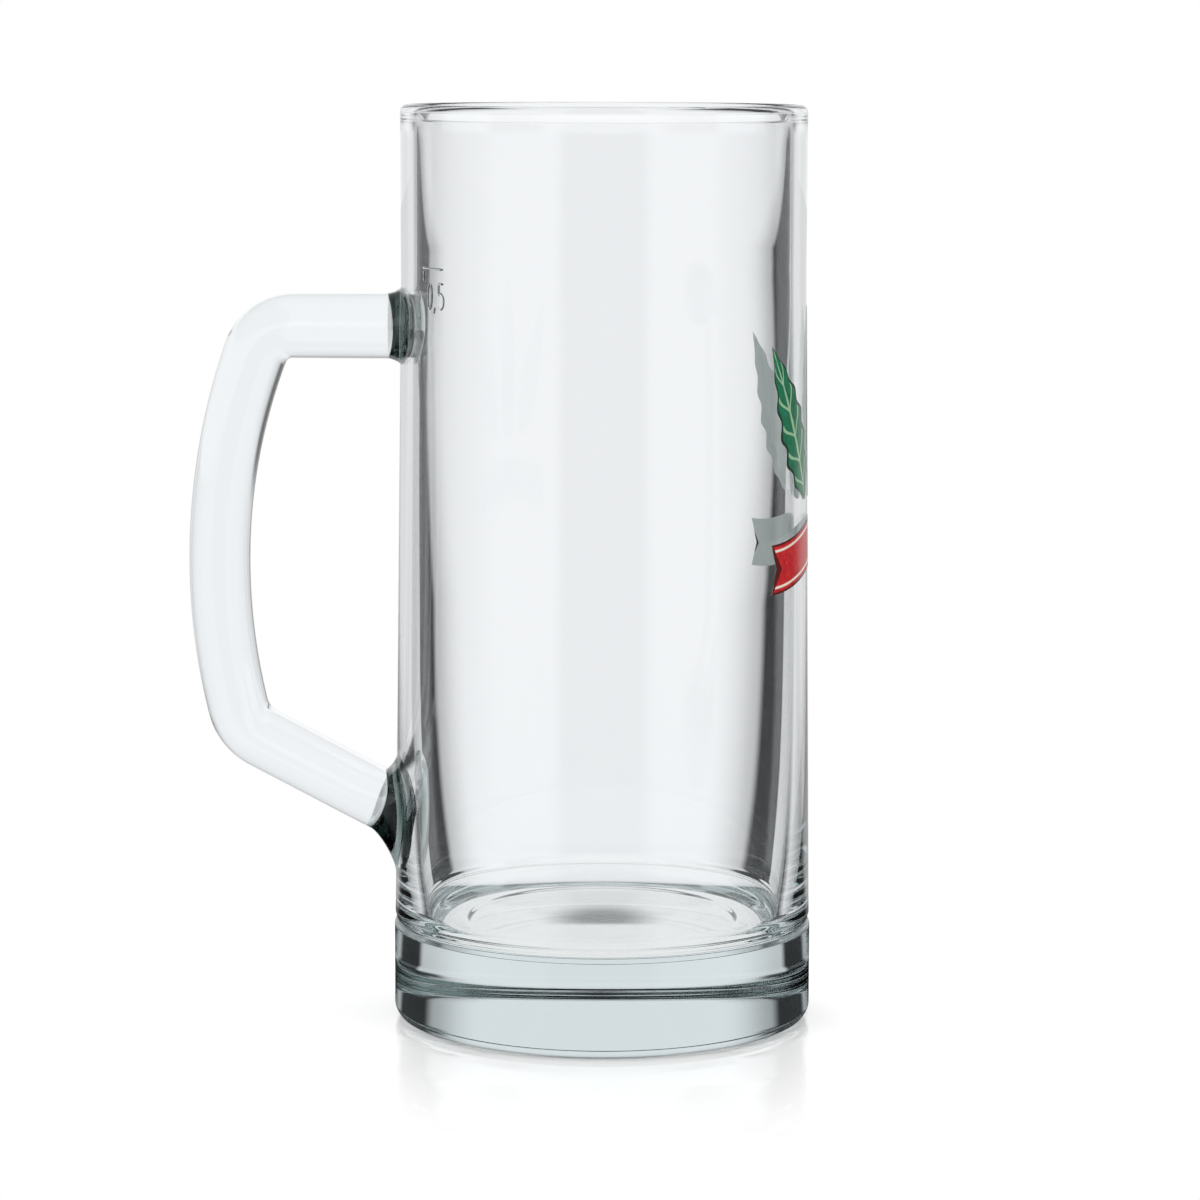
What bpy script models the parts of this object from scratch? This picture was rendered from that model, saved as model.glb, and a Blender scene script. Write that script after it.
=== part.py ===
"""Half-litre beer mug: a heavy-based glass body, a welded glass handle and a fired print.

Sizes are in millimetres and become metres where a mesh is made. The mug stands on z = 0 with its
axis on Z, the handle points along -X and the print sits opposite it, on the +X side.
"""

import math

import bmesh
import bpy
from mathutils import Vector

MM = 0.001

# Outside of the body
MUG_HEIGHT = 172.0
BASE_RADIUS = 39.4
HEEL_RADIUS = 2.7
HEEL_STEPS = 5
SHOULDER_Z = 19.0
SHOULDER_HEIGHT = 2.7
SHOULDER_DEPTH = 0.4
SHOULDER_STEPS = 6
WALL_FOOT_RADIUS = 39.25
WAIST_Z = 141.0
WAIST_RADIUS = 37.75
RIM_RADIUS = 37.85
RIM_STEPS = 8
BODY_SEGMENTS = 72

# Inside of the body
WALL_THICKNESS = 2.35
FOOT_THICKENING = 2.4
FOOT_LENGTH = 22.0
FOOT_RISES = (80.0, 50.0, 34.0, 22.0, 13.0, 6.0)
LIP_THICKENING = 0.15
LIP_Z = 124.0
LIP_LENGTH = 42.0
LIP_STEPS = 6
FILLET_TOP_Z = 22.3
FLOOR_FILLET = 6.1
FILLET_STEPS = 6
FLOOR_RING_RADIUS = 26.5
FLOOR_RING_WIDTH = 1.4
FLOOR_RING_DEPTH = 0.35
FLOOR_DOME = 0.5
FLOOR_STEPS = 3

# Handle, seen from the side
HANDLE_DEPTH = 16.0
OVAL_POWER = 2.2
SECTION_POINTS = 32
UPPER_ARM_Z = 130.85
UPPER_ARM_THICKNESS = 12.2
GRIP_THICKNESS = 11.35
LOWER_ARM_THICKNESS = 11.1
GRIP_REACH = 72.1
GRIP_BOW_RADIUS = 116.0
GRIP_MIDDLE_Z = 86.0
GRIP_STEPS = 12
UPPER_BEND_RADIUS = 7.5
LOWER_BEND_RADIUS = 9.3
BEND_STEPS = 8
LOWER_ARM_SLOPE = math.radians(28.0)
LOWER_ARM_X = -54.1
LOWER_ARM_Z = 47.45

# Welds between handle and wall
UPPER_WELD_X = -40.2
UPPER_WELD_FLARE = 1.1
UPPER_WELD_SIDE_FLARE = 2.0
LOWER_WELD_X = -42.6
LOWER_WELD_LEAN = math.radians(17.0)
LOWER_WELD_TOP_FLARE = 3.1
LOWER_WELD_SIDE_FLARE = 3.3
LOWER_WELD_BOTTOM_FLARE = 8.7
WELD_LIP = 0.3
WELD_FILLET_POWER = 1.5
WELD_STEPS = 6
WELD_FOOT_RINGS = (0.35, 0.7, 1.0)
JOINT_GAP = 0.25

# Fired print, laid out on the unrolled wall: s runs round the wall, z up
PRINT_THICKNESS = 0.15
PRINT_GAP = 0.06
PRINT_ROLL_RADIUS = 38.3
PRINT_CROSS_STEPS = 4
CONE_FOOT_Z = 99.0
CONE_LENGTH = 35.8
CONE_HALF_WIDTH = 5.1
CONE_LOW_BELLY = 0.65
CONE_BLUNTNESS = 0.8
CONE_SCALES = 6
CONE_SCALE_DEPTH = 0.07
CONE_STEPS = 24
LEAF_STALK = (8.3, 99.5)
LEAF_TIP = (24.2, 128.5)
LEAF_HALF_WIDTH = 5.4
LEAF_LOW_BELLY = 0.7
LEAF_TEETH = 6
LEAF_TOOTH_DEPTH = 0.12
LEAF_STEPS = 24
RIBBON_HALF_LENGTH = 24.6
RIBBON_Z = 89.4
RIBBON_HEIGHT = 9.2
RIBBON_RISE = 3.3
RIBBON_NOTCH = 3.5
RIBBON_TAIL_POWER = 6
RIBBON_STEPS = 28

# Surfaces
GLASS_TINT = (0.93, 0.97, 0.96)
GLASS_ROUGHNESS = 0.02
GLASS_IOR = 1.52
HOP_GREEN = (0.02, 0.22, 0.09)
LEAF_GREEN = (0.03, 0.27, 0.12)
RIBBON_RED = (0.62, 0.03, 0.03)
ENAMEL_ROUGHNESS = 0.25
SMOOTH_ANGLE = math.radians(40.0)
WELD_DISTANCE = 0.001


def clear_scene():
    """Start from an empty scene."""
    for thing in list(bpy.data.objects):
        bpy.data.objects.remove(thing, do_unlink=True)


def material(name, colour, roughness, transmission=0.0):
    """One surface: its colour, roughness and how much light passes through it."""
    surface = bpy.data.materials.new(name)
    surface.use_nodes = True
    shader = surface.node_tree.nodes["Principled BSDF"]
    shader.inputs["Base Color"].default_value = (*colour, 1.0)
    shader.inputs["Roughness"].default_value = roughness
    shader.inputs["Metallic"].default_value = 0.0
    shader.inputs["Transmission Weight"].default_value = transmission
    shader.inputs["IOR"].default_value = GLASS_IOR
    return surface


def finish_object(name, shape, surface, parent):
    """Turn a bmesh in millimetres into a named, smooth-shaded object in metres."""
    bmesh.ops.scale(shape, vec=(MM, MM, MM), verts=shape.verts)
    bmesh.ops.recalc_face_normals(shape, faces=shape.faces)
    mesh = bpy.data.meshes.new(name)
    shape.to_mesh(mesh)
    shape.free()
    mesh.shade_smooth()
    mesh.set_sharp_from_angle(angle=SMOOTH_ANGLE)
    mesh.materials.append(surface)
    piece = bpy.data.objects.new(name, mesh)
    piece.parent = parent
    bpy.context.collection.objects.link(piece)
    return piece


def arc(centre, radius, start, stop, steps):
    """Points on a circle from one angle to another, both ends included."""
    angles = [start + (stop - start) * i / steps for i in range(steps + 1)]
    return [(centre[0] + radius * math.cos(a), centre[1] + radius * math.sin(a)) for a in angles]


def smooth_step(share):
    """Ease from 0 to 1 with level ends."""
    share = min(max(share, 0.0), 1.0)
    return share * share * (3.0 - 2.0 * share)


def outer_radius(z):
    """Outside of the wall: a straight taper from the shoulder to the waist, then a slight flare."""
    if z < WAIST_Z:
        share = (z - SHOULDER_Z) / (WAIST_Z - SHOULDER_Z)
        return WALL_FOOT_RADIUS + share * (WAIST_RADIUS - WALL_FOOT_RADIUS)
    share = (z - WAIST_Z) / (MUG_HEIGHT - WAIST_Z)
    return WAIST_RADIUS + share * (RIM_RADIUS - WAIST_RADIUS)


def inner_radius(z):
    """Inside of the wall: parallel to the outside, thicker towards the foot and again at the lip."""
    foot = FOOT_THICKENING * math.exp(-(z - FILLET_TOP_Z) / FOOT_LENGTH)
    lip = LIP_THICKENING * smooth_step((z - LIP_Z) / LIP_LENGTH)
    return outer_radius(z) - WALL_THICKNESS - foot - lip


def groove_profile():
    """Shallow groove between the base and the wall."""
    points = []
    for i in range(SHOULDER_STEPS + 1):
        share = i / SHOULDER_STEPS
        flush = BASE_RADIUS + share * (WALL_FOOT_RADIUS - BASE_RADIUS)
        dip = SHOULDER_DEPTH * math.sin(math.pi * share) ** 2
        points.append((flush - dip, SHOULDER_Z + (share - 0.5) * SHOULDER_HEIGHT))
    return points


def floor_profile():
    """Inside of the base: the fillet, a flat ring and a slightly domed middle one step lower."""
    taper = (WALL_FOOT_RADIUS - WAIST_RADIUS) / (WAIST_Z - SHOULDER_Z)
    lean = math.atan(FOOT_THICKENING / FOOT_LENGTH - taper)
    fillet_centre = (
        inner_radius(FILLET_TOP_Z) - FLOOR_FILLET * math.cos(lean),
        FILLET_TOP_Z + FLOOR_FILLET * math.sin(lean),
    )
    fillet = arc(fillet_centre, FLOOR_FILLET, -lean, -math.pi / 2, FILLET_STEPS)

    floor_z = fillet[-1][1]
    dome_radius = FLOOR_RING_RADIUS - FLOOR_RING_WIDTH
    dome = []
    for i in range(FLOOR_STEPS + 1):
        share = 1.0 - i / FLOOR_STEPS
        rise = FLOOR_DOME * (1.0 - share * share)
        dome.append((dome_radius * share, floor_z - FLOOR_RING_DEPTH + rise))
    return fillet + [(FLOOR_RING_RADIUS, floor_z)] + dome


def body_profile():
    """Half section of the body, from the middle of the underside round to the middle of the floor."""
    heel_centre = (BASE_RADIUS - HEEL_RADIUS, HEEL_RADIUS)
    heel = arc(heel_centre, HEEL_RADIUS, -math.pi / 2, 0.0, HEEL_STEPS)
    wall = [(outer_radius(z), z) for z in ((SHOULDER_Z + WAIST_Z) / 2, WAIST_Z)]

    lip_half = (RIM_RADIUS - inner_radius(MUG_HEIGHT)) / 2
    lip_centre = (RIM_RADIUS - lip_half, MUG_HEIGHT - lip_half)
    rim = arc(lip_centre, lip_half, 0.0, math.pi, RIM_STEPS)

    lip_heights = [LIP_Z + LIP_LENGTH * (1.0 - i / LIP_STEPS) for i in range(LIP_STEPS + 1)]
    foot_heights = [FILLET_TOP_Z + rise for rise in FOOT_RISES]
    bore = [(inner_radius(z), z) for z in lip_heights + foot_heights]

    return [(0.0, 0.0)] + heel + groove_profile() + wall + rim + bore + floor_profile()


def make_body(parent):
    """Turn the half section once round the mug's axis."""
    shape = bmesh.new()
    chain = [shape.verts.new((radius, 0.0, z)) for radius, z in body_profile()]
    edges = [shape.edges.new(pair) for pair in zip(chain, chain[1:])]
    bmesh.ops.spin(
        shape,
        geom=chain + edges,
        cent=(0.0, 0.0, 0.0),
        axis=(0.0, 0.0, 1.0),
        angle=2.0 * math.pi,
        steps=BODY_SEGMENTS,
    )
    bmesh.ops.remove_doubles(shape, verts=shape.verts, dist=WELD_DISTANCE)
    surface = material("clear_body_glass", GLASS_TINT, GLASS_ROUGHNESS, transmission=1.0)
    return finish_object("glass_body", shape, surface, parent)


def section(half_thickness):
    """Full oval section: (across, along Y, outward normal) for each point, once round.

    The shares of the two half sizes obey across^p + depth^p = 1, which is an ellipse at p = 2 and a
    rectangle at high p. The normal is the slope of that sum.
    """
    half_depth = HANDLE_DEPTH / 2
    points = []
    for i in range(SECTION_POINTS):
        angle = 2.0 * math.pi * i / SECTION_POINTS
        across, depth = (
            math.copysign(abs(value) ** (2.0 / OVAL_POWER), value)
            for value in (math.cos(angle), math.sin(angle))
        )
        normal = Vector((
            math.copysign(abs(across) ** (OVAL_POWER - 1.0), across) / half_thickness,
            math.copysign(abs(depth) ** (OVAL_POWER - 1.0), depth) / half_depth,
        )).normalized()
        points.append((across * half_thickness, depth * half_depth, normal.x, normal.y))
    return points


def handle_path():
    """Middle line of the handle in the XZ plane, from the upper weld to the lower one."""
    grip_centre = (GRIP_BOW_RADIUS - GRIP_REACH, GRIP_MIDDLE_Z)
    upper_reach = GRIP_BOW_RADIUS - UPPER_BEND_RADIUS
    lower_reach = GRIP_BOW_RADIUS - LOWER_BEND_RADIUS

    upper_z = UPPER_ARM_Z - UPPER_BEND_RADIUS
    upper_centre = (
        grip_centre[0] - math.sqrt(upper_reach ** 2 - (upper_z - grip_centre[1]) ** 2),
        upper_z,
    )
    upper_angle = math.atan2(upper_centre[1] - grip_centre[1], upper_centre[0] - grip_centre[0])

    along = Vector((math.cos(LOWER_ARM_SLOPE), -math.sin(LOWER_ARM_SLOPE)))
    inward = Vector((math.sin(LOWER_ARM_SLOPE), math.cos(LOWER_ARM_SLOPE)))
    offset = Vector((LOWER_ARM_X, LOWER_ARM_Z)) + LOWER_BEND_RADIUS * inward - Vector(grip_centre)
    half_b = offset.dot(along)
    travel = -half_b - math.sqrt(half_b ** 2 - offset.dot(offset) + lower_reach ** 2)
    lower_centre = Vector(grip_centre) + offset + travel * along
    lower_angle = math.atan2(lower_centre.y - grip_centre[1], lower_centre.x - grip_centre[0])

    upper_bend = arc(upper_centre, UPPER_BEND_RADIUS, math.pi / 2, upper_angle, BEND_STEPS)
    grip = arc(grip_centre, GRIP_BOW_RADIUS, upper_angle, 2 * math.pi + lower_angle, GRIP_STEPS)
    bend_stop = 1.5 * math.pi - LOWER_ARM_SLOPE
    lower_turn = 2 * math.pi + lower_angle
    lower_bend = arc(lower_centre, LOWER_BEND_RADIUS, lower_turn, bend_stop, BEND_STEPS)

    weld_gap = JOINT_GAP / math.cos(LOWER_ARM_SLOPE - LOWER_WELD_LEAN)
    end = lower_weld_centre() - along * weld_gap
    start = (UPPER_WELD_X - JOINT_GAP, UPPER_ARM_Z)
    return [start] + upper_bend + grip[1:-1] + lower_bend + [tuple(end)]


def lower_weld_centre():
    """Where the middle line of the lower arm meets the weld's face."""
    drop = (LOWER_WELD_X - LOWER_ARM_X) * math.tan(LOWER_ARM_SLOPE)
    return Vector((LOWER_WELD_X, LOWER_ARM_Z - drop))


def loft(shape, rings, first_pole=None, last_pole=None):
    """Skin a row of equal rings and close each end with a fan to its pole, or with one flat face."""
    loops = [[shape.verts.new(point) for point in ring] for ring in rings]
    count = len(loops[0])
    for near, far in zip(loops, loops[1:]):
        for i in range(count):
            j = (i + 1) % count
            shape.faces.new((near[i], near[j], far[j], far[i]))
    for loop, pole in ((loops[0], first_pole), (loops[-1], last_pole)):
        if pole is None:
            shape.faces.new(loop)
            continue
        tip = shape.verts.new(pole)
        for i in range(count):
            shape.faces.new((loop[i], loop[(i + 1) % count], tip))


def handle_half_thickness(share):
    """Half the handle's thickness: it thins from the upper arm through the grip to the lower arm."""
    if share < 0.5:
        return (UPPER_ARM_THICKNESS + smooth_step(share * 2) * (GRIP_THICKNESS - UPPER_ARM_THICKNESS)) / 2
    return (GRIP_THICKNESS + smooth_step(share * 2 - 1) * (LOWER_ARM_THICKNESS - GRIP_THICKNESS)) / 2


def make_handle(parent):
    """Carry the oval section along the middle line, with the lower end cut to the weld's lean."""
    path = [Vector(point) for point in handle_path()]
    lengths = [0.0]
    for near, far in zip(path, path[1:]):
        lengths.append(lengths[-1] + (far - near).length)

    rings = []
    last = len(path) - 1
    for i, point in enumerate(path):
        tangent = (path[min(i + 1, last)] - path[max(i - 1, 0)]).normalized()
        if i == 1:
            tangent = (path[1] - path[0]).normalized()
        if i == last - 1:
            tangent = (path[last] - path[last - 1]).normalized()
        outward = Vector((tangent.y, -tangent.x))
        if i == last:
            cut = Vector((-math.sin(LOWER_WELD_LEAN), -math.cos(LOWER_WELD_LEAN)))
            outward = cut / cut.dot(outward)
        half = handle_half_thickness(lengths[i] / lengths[-1])
        ring = []
        for across, depth, _, _ in section(half):
            spot = point + outward * across
            ring.append((spot.x, depth, spot.y))
        rings.append(ring)

    shape = bmesh.new()
    loft(shape, rings)
    surface = material("clear_handle_glass", GLASS_TINT, GLASS_ROUGHNESS, transmission=1.0)
    return finish_object("handle", shape, surface, parent)


def wall_point(y, z, stand_off):
    """Point on the handle side of the wall, lifted off it by stand_off."""
    radius = outer_radius(z) + stand_off
    return (-math.sqrt(radius ** 2 - y ** 2), y, z)


def make_weld(name, parent, centre, lean, half_thickness, flares):
    """Flared saddle of weld glass from the wall out to the handle's cut end.

    The end is the handle's own section on a plane that leans by lean. The foot is that section grown
    by the flares (top, side, bottom) and laid on the wall. Between them the skin runs along a hollow
    fillet: it leaves the wall level and meets the handle square.
    """
    top_flare, side_flare, bottom_flare = flares
    stretch = 1.0 / math.cos(lean - LOWER_ARM_SLOPE) if lean else 1.0

    def ring(turn, grow=1.0, stand_off=JOINT_GAP + WELD_LIP):
        spread = 1.0 - math.sin(turn) ** WELD_FILLET_POWER
        reach = 1.0 - max(math.cos(turn), 0.0) ** WELD_FILLET_POWER
        points = []
        for across, depth, normal_across, normal_depth in section(half_thickness):
            rise = across * stretch * math.cos(lean)
            end_x = centre[0] + across * stretch * math.sin(lean)
            end_z = centre[1] + rise
            tall_flare = top_flare if normal_across > 0 else bottom_flare
            flare_z = tall_flare * normal_across * spread
            flare_y = side_flare * normal_depth * spread
            y = (depth + flare_y) * grow
            z = centre[1] + (end_z + flare_z - centre[1]) * grow
            foot = wall_point(y, z, stand_off)
            points.append((foot[0] + (end_x - foot[0]) * reach, y, z))
        return points

    inside = [ring(0.0, grow, JOINT_GAP) for grow in WELD_FOOT_RINGS]
    skin = [ring(i / WELD_STEPS * math.pi / 2) for i in range(WELD_STEPS + 1)]
    shape = bmesh.new()
    loft(shape, inside + skin, first_pole=wall_point(0.0, centre[1], JOINT_GAP))
    surface = material(name + "_glass", GLASS_TINT, GLASS_ROUGHNESS, transmission=1.0)
    return finish_object(name, shape, surface, parent)


def print_point(s, z, stand_off):
    """Spot on the print side of the wall: s is measured round the wall from +X."""
    angle = s / PRINT_ROLL_RADIUS
    radius = outer_radius(z) + stand_off
    return (radius * math.cos(angle), radius * math.sin(angle), z)


def make_print(name, parent, spot, long_steps, colour):
    """Thin layer of fired colour: spot(u, v) lays out a patch, which is wrapped on the wall."""
    shape = bmesh.new()
    grid = []
    for i in range(long_steps + 1):
        row = []
        for j in range(PRINT_CROSS_STEPS + 1):
            s, z = spot(i / long_steps, 2.0 * j / PRINT_CROSS_STEPS - 1.0)
            row.append(shape.verts.new(print_point(s, z, PRINT_GAP)))
        grid.append(row)
    for near, far in zip(grid, grid[1:]):
        for j in range(PRINT_CROSS_STEPS):
            shape.faces.new((near[j], near[j + 1], far[j + 1], far[j]))
    bmesh.ops.remove_doubles(shape, verts=shape.verts, dist=WELD_DISTANCE)
    grown = bmesh.ops.extrude_face_region(shape, geom=list(shape.faces))
    for item in grown["geom"]:
        if isinstance(item, bmesh.types.BMVert):
            radius = math.hypot(item.co.x, item.co.y)
            item.co.x *= (radius + PRINT_THICKNESS) / radius
            item.co.y *= (radius + PRINT_THICKNESS) / radius
    surface = material(name + "_enamel", colour, ENAMEL_ROUGHNESS)
    return finish_object(name, shape, surface, parent)


def hop_cone_spot(u, v):
    """Hop cone: an upright pointed oval with rounded scales along its sides."""
    scales = 1.0 + CONE_SCALE_DEPTH * math.cos(2.0 * math.pi * CONE_SCALES * u)
    oval = max(math.sin(math.pi * u ** CONE_LOW_BELLY), 0.0) ** CONE_BLUNTNESS if u < 1.0 else 0.0
    return (CONE_HALF_WIDTH * oval * scales * v, CONE_FOOT_Z + CONE_LENGTH * u)


def leaf_spot(side):
    """Layout of one leaf: a toothed blade on a straight midrib from stalk to tip."""
    stalk = Vector(LEAF_STALK)
    rib = Vector(LEAF_TIP) - stalk
    across = Vector((-rib.y, rib.x)).normalized()

    def spot(u, v):
        teeth = 1.0 + LEAF_TOOTH_DEPTH * math.cos(2.0 * math.pi * LEAF_TEETH * u)
        blade = math.sin(math.pi * u ** LEAF_LOW_BELLY) if u < 1.0 else 0.0
        place = stalk + rib * u + across * (LEAF_HALF_WIDTH * blade * teeth * v)
        return (side * place.x, place.y)

    return spot


def ribbon_spot(u, v):
    """Plain ribbon: a level-ended wave with a swallow-tail notch at each end."""
    side = 2.0 * u - 1.0
    notch = RIBBON_NOTCH * (1.0 - abs(v)) * abs(side) ** RIBBON_TAIL_POWER
    s = side * (RIBBON_HALF_LENGTH - notch)
    wave = RIBBON_RISE * math.cos(math.pi * side)
    return (s, RIBBON_Z + wave / 2 + RIBBON_HEIGHT / 2 * v)


def main():
    clear_scene()
    mug = bpy.data.objects.new("mug", None)
    bpy.context.collection.objects.link(mug)

    make_body(mug)
    make_handle(mug)
    make_weld(
        "upper_weld",
        mug,
        (UPPER_WELD_X, UPPER_ARM_Z),
        0.0,
        UPPER_ARM_THICKNESS / 2,
        (UPPER_WELD_FLARE, UPPER_WELD_SIDE_FLARE, UPPER_WELD_FLARE),
    )
    make_weld(
        "lower_weld",
        mug,
        tuple(lower_weld_centre()),
        LOWER_WELD_LEAN,
        LOWER_ARM_THICKNESS / 2,
        (LOWER_WELD_TOP_FLARE, LOWER_WELD_SIDE_FLARE, LOWER_WELD_BOTTOM_FLARE),
    )
    make_print("print_hop_cone", mug, hop_cone_spot, CONE_STEPS, HOP_GREEN)
    make_print("print_leaf_near", mug, leaf_spot(-1.0), LEAF_STEPS, LEAF_GREEN)
    make_print("print_leaf_far", mug, leaf_spot(1.0), LEAF_STEPS, LEAF_GREEN)
    make_print("print_ribbon", mug, ribbon_spot, RIBBON_STEPS, RIBBON_RED)


main()
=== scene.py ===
# %% [markdown]
# # A half-litre beer mug in clear glass
#
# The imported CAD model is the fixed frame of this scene. The steps below make one piece or one finish
# at a time, in the order of a glassworks: the body, the handle, the two welds, the fired print and
# the fill mark. The studio comes last. Clear glass has no look of its own, it shows what stands
# around it, so the studio is as much a part of the finish as the glass.

import math

import bpy
import numpy as np
from mathutils import Euler, Matrix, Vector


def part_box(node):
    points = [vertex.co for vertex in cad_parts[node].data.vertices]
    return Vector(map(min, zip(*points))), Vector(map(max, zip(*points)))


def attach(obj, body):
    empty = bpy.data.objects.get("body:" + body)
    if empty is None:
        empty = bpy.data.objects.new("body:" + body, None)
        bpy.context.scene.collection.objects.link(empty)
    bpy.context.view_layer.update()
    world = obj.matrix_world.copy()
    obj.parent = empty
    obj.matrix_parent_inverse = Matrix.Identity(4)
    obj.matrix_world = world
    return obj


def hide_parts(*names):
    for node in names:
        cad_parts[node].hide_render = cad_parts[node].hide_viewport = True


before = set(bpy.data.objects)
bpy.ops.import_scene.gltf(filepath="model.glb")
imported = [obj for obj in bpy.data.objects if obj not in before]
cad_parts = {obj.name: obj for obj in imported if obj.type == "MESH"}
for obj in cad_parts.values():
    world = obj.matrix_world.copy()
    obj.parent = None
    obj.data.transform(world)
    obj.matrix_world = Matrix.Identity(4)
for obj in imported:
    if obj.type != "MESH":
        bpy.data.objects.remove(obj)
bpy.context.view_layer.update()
MM = 0.001

_, body_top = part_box("glass_body")
BASE_RADIUS, _, MUG_HEIGHT = np.array(body_top) / MM
print(f"mug {MUG_HEIGHT:.1f} mm tall, base {2 * BASE_RADIUS:.1f} mm across")

# %% [markdown]
# ## The camera
#
# The picture was taken with a long lens, a little above the rim and from nearly 80 cm away. The place
# and the lens were solved from the outline of the rim, the shoulder and the base, so the camera is
# placed by numbers and needs no shift. A camera could also be aimed with a Track To constraint, but a
# fixed tilt keeps the verticals exactly as steep as they should be.

# %% Place the camera
CAMERA_PLACE = (-0.55, -776.1, 181.8)
CAMERA_TILT = math.radians(7.53)
CAMERA_ROLL = math.radians(0.135)
LENS_MM = 124.6
SENSOR_MM = 36.0

camera_data = bpy.data.cameras.new("camera")
camera_data.lens = LENS_MM
camera_data.sensor_width = SENSOR_MM
camera = bpy.data.objects.new("camera", camera_data)
bpy.context.collection.objects.link(camera)
camera.location = [value * MM for value in CAMERA_PLACE]
aim = Euler((math.pi / 2 - CAMERA_TILT, 0.0, 0.0)).to_matrix()
camera.rotation_euler = (aim @ Matrix.Rotation(CAMERA_ROLL, 3, "Z")).to_euler()
bpy.context.scene.camera = camera
print("camera at", CAMERA_PLACE, "mm")

# %% [markdown]
# ## From arrays to meshes
#
# Every piece of the mug is a row of rings: circles for the body, full ovals for the handle, flat loops
# for the print. So one function skins a row of rings, and one function turns the result into an object
# that rides on the frame. Blender's Screw, Skin or Bevel tools could make such shapes too, but a formula
# on a numpy grid keeps the exact profile, and its resolution is one number.

# %% Skin a row of rings
def loft(rings, first_pole, last_pole):
    """Closed skin over rings[i, j]: each point is joined to the next one round and to the next ring.

    A fan of triangles closes the first and the last ring at a pole.
    """
    count, around = rings.shape[:2]
    index = np.arange(count * around).reshape(count, around)
    beside = np.roll(index, -1, axis=1)
    sides = np.stack([index[:-1], beside[:-1], beside[1:], index[1:]], axis=-1)
    first_fan = np.stack([beside[0], index[0], np.full(around, index.size)], axis=-1)
    last_fan = np.stack([index[-1], beside[-1], np.full(around, index.size + 1)], axis=-1)
    vertices = np.concatenate([rings.reshape(-1, 3), [first_pole, last_pole]])
    return vertices, sides.reshape(-1, 4).tolist() + first_fan.tolist() + last_fan.tolist()


# %% Add a piece to the frame
SHARP_ANGLE = math.radians(50.0)


def signed_volume(mesh):
    """Sum of a . (b x c) / 6 over the triangles: positive where the faces point outwards."""
    places = np.empty(len(mesh.vertices) * 3)
    mesh.vertices.foreach_get("co", places)
    mesh.calc_loop_triangles()
    corners = np.empty(len(mesh.loop_triangles) * 3, int)
    mesh.loop_triangles.foreach_get("vertices", corners)
    a, b, c = places.reshape(-1, 3)[corners.reshape(-1, 3)].transpose(1, 0, 2)
    return np.einsum("ij,ij->", a, np.cross(b, c)) / 6.0


def add_piece(name, vertices, faces, finish, slot, *nodes):
    """Mesh in millimetres to a smooth piece on the frame, in the place of its CAD nodes."""
    mesh = bpy.data.meshes.new(name)
    mesh.from_pydata((np.asarray(vertices) * MM).tolist(), [], faces)
    if signed_volume(mesh) < 0.0:
        mesh.flip_normals()
    mesh.shade_smooth()
    mesh.set_sharp_from_angle(angle=SHARP_ANGLE)
    mesh.materials.append(finish)
    piece = bpy.data.objects.new(name, mesh)
    bpy.context.collection.objects.link(piece)
    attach(piece, "root")
    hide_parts(*nodes)
    print(f"{name}: {len(mesh.loop_triangles)} triangles, {signed_volume(mesh) / MM ** 3:.1f} mm3")
    return piece


# %% [markdown]
# ## Shader sums as Python sums
#
# A finish is a small calculation, and calculations read best as formulas. The class below wraps one
# node socket, so that `a * 2 - b` adds its Math nodes by itself. Every other node comes from `node`,
# which sets the node up first and then fills or links its sockets.

# %% A socket that understands arithmetic
def set_stops(ramp, stops):
    """Grey stops of a ramp as (position, value) pairs."""
    while len(ramp.elements) < len(stops):
        ramp.elements.new(1.0)
    for element, (position, value) in zip(ramp.elements, stops):
        element.position = position
        element.color = (value, value, value, 1.0)


class Flow:
    """One output socket of a node tree. Operators on it add Math nodes."""

    def __init__(self, tree, socket=None):
        self.tree = tree
        self.socket = socket

    def node(self, kind, settings=None, inputs=None, output=0):
        """Add a node of that kind, set it up, fill its sockets and give one of its outputs."""
        made = self.tree.nodes.new(kind)
        for key, value in (settings or {}).items():
            if key == "stops":
                set_stops(made.color_ramp, value)
            else:
                setattr(made, key, value)
        for key, value in (inputs or {}).items():
            if isinstance(value, Flow):
                self.tree.links.new(value.socket, made.inputs[key])
            else:
                made.inputs[key].default_value = value
        return Flow(self.tree, made.outputs[output])

    def math(self, operation, *values, clamp=False):
        """Math node on this socket and the values."""
        inputs = dict(enumerate((self, *values)))
        return self.node("ShaderNodeMath", {"operation": operation, "use_clamp": clamp}, inputs)

    def __add__(self, other):
        return self.math("ADD", other)

    def __sub__(self, other):
        return self.math("SUBTRACT", other)

    def __rsub__(self, other):
        return self.math("MULTIPLY_ADD", -1.0, other)

    def __mul__(self, other):
        return self.math("MULTIPLY", other)

    __radd__ = __add__
    __rmul__ = __mul__

    def clamp(self):
        """Keep between 0 and 1."""
        return self.math("ADD", 0.0, clamp=True)

    def between(self, low, high):
        """0 below low, 1 above high and a smooth ramp in between."""
        settings = {"interpolation_type": "SMOOTHSTEP"}
        return self.node("ShaderNodeMapRange", settings, {0: self, 1: low, 2: high})

    def within(self, rise, fall):
        """1 between a smooth rise and a smooth fall, each one a span of values."""
        return self.between(*rise) * (1.0 - self.between(*fall))

    def along(self, stops):
        """Straight lines between (position, value) stops."""
        return self.node("ShaderNodeValToRGB", {"stops": stops}, {0: self})

    def blend(self, colour_a, colour_b):
        """Colour a where this socket is 0, colour b where it is 1."""
        settings = {"data_type": "RGBA"}
        return self.node("ShaderNodeMix", settings, {0: self, 6: colour_a, 7: colour_b}, output=2)


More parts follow.
